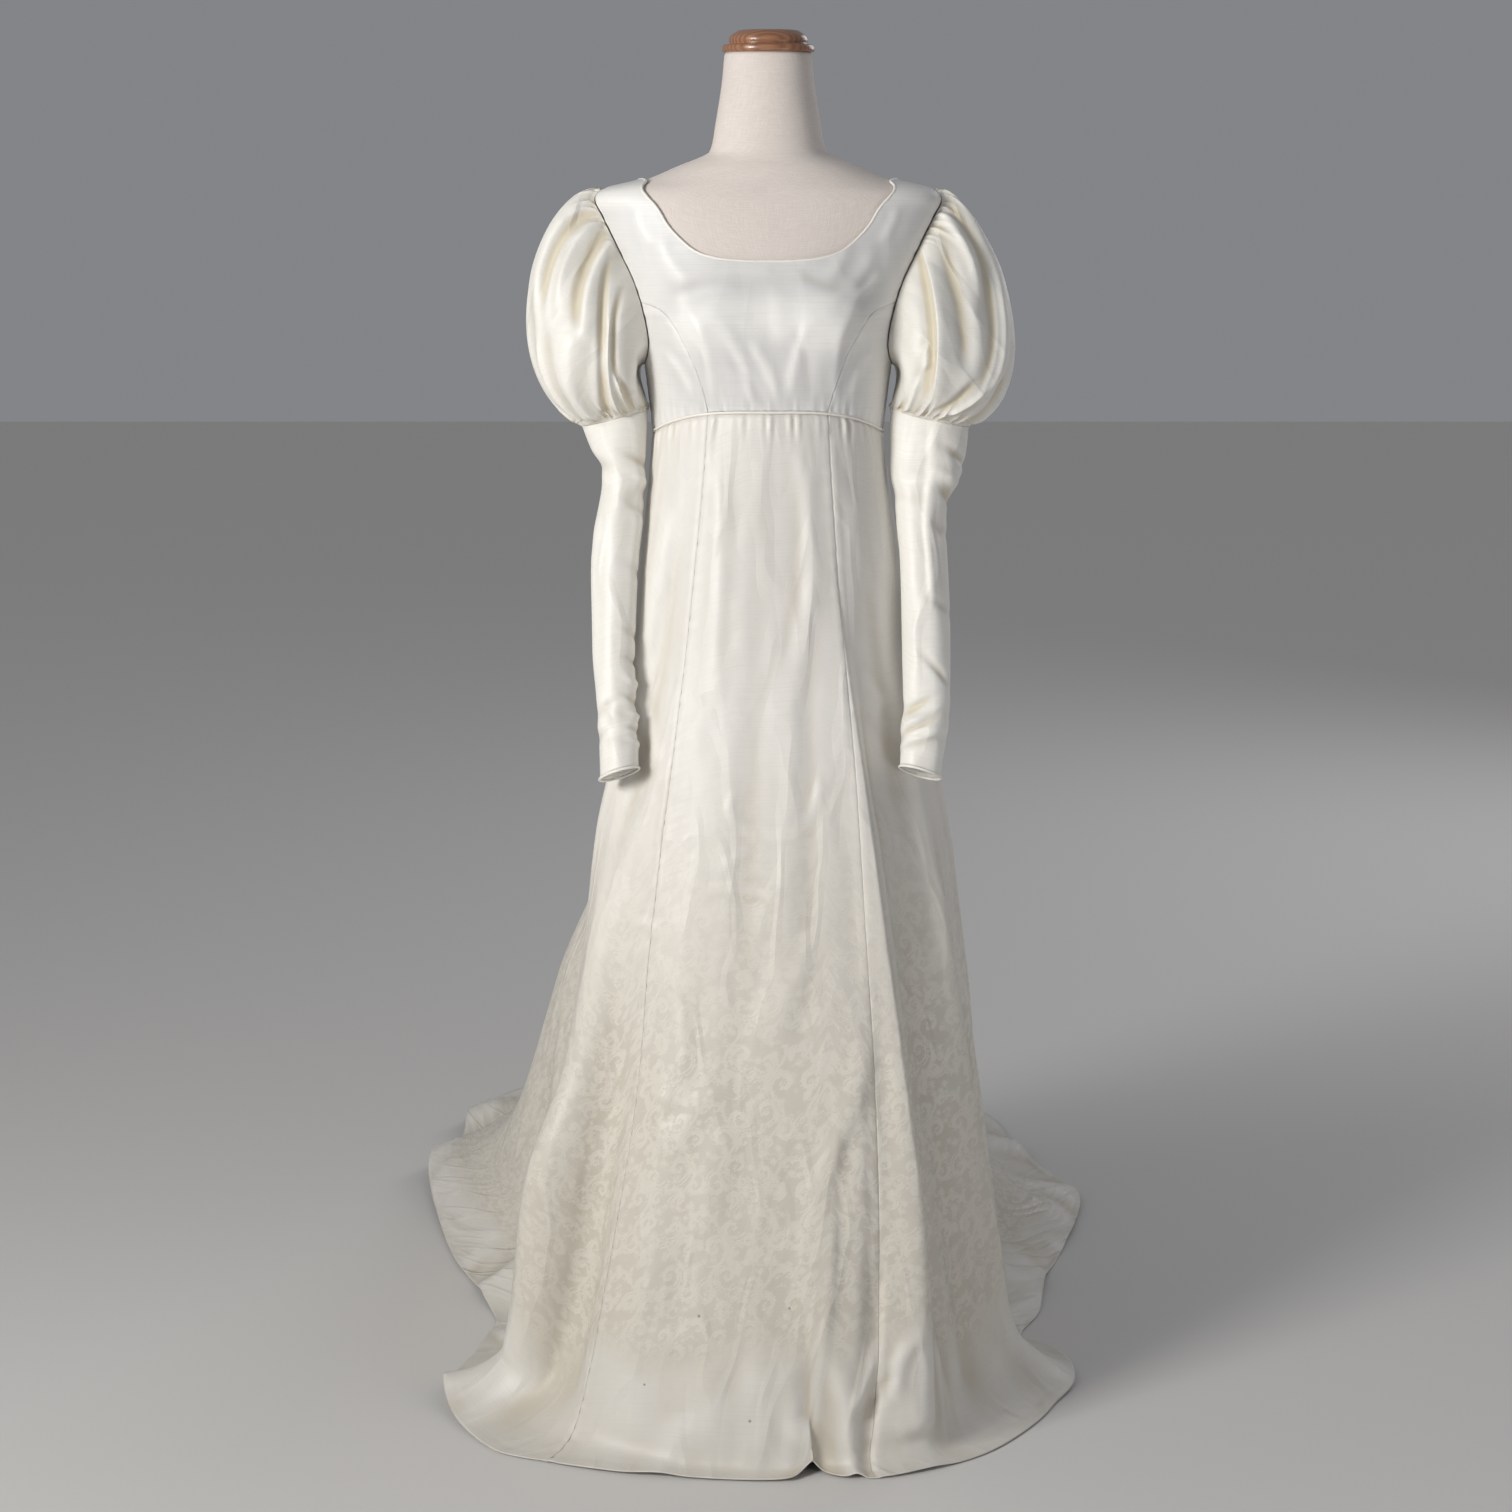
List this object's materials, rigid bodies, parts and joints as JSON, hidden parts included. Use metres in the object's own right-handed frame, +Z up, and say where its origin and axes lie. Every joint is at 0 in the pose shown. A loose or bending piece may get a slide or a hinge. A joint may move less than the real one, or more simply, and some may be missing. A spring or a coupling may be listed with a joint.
{
  "type": "wedding dress on dress form",
  "caption": "Long empire-line wedding dress with gathered puff sleeves, piped seams and a spread train, standing open on a limbless dress form with pole and base.",
  "frame": {"origin": "on the floor, on the axis of the form's pole, in the middle of the base's underside", "axes": "+Z up, -Y to the front of the dress, +X to the viewer's right when facing the front; the train lies towards +Y"},
  "size_m": [0.933, 1.5671, 1.6173],
  "materials": {
    "satin_bodice": "ivory slub satin with a soft sheen",
    "damask_skirt": "ivory satin with tone-on-tone scroll damask in the lower skirt",
    "satin_sleeve": "cream satin with a soft sheen",
    "satin_piping": "satin-covered cord",
    "form_linen": "plain woven linen, matte",
    "turned_wood": "turned and varnished",
    "pole_steel": "brushed"
  },
  "bodies": {
    "root": {"bodice_front": "satin_bodice", "bodice_side_front_left": "satin_bodice", "bodice_side_front_right": "satin_bodice", "bodice_back_left": "satin_bodice", "bodice_back_right": "satin_bodice", "back_placket": "satin_bodice", "skirt_front": "damask_skirt", "skirt_side_front_left": "damask_skirt", "skirt_side_front_right": "damask_skirt", "skirt_back_left": "damask_skirt", "skirt_back_right": "damask_skirt", "sleeve_puff_left": "satin_sleeve", "sleeve_puff_right": "satin_sleeve", "sleeve_lower_left": "satin_sleeve", "sleeve_lower_right": "satin_sleeve", "cuff_piping_left": "satin_piping", "cuff_piping_right": "satin_piping", "neck_piping": "satin_piping", "waist_piping": "satin_piping", "form_torso": "form_linen", "neck_cap": "turned_wood", "stand_base": "turned_wood", "stand_pole": "pole_steel"}
  },
  "joints": []
}
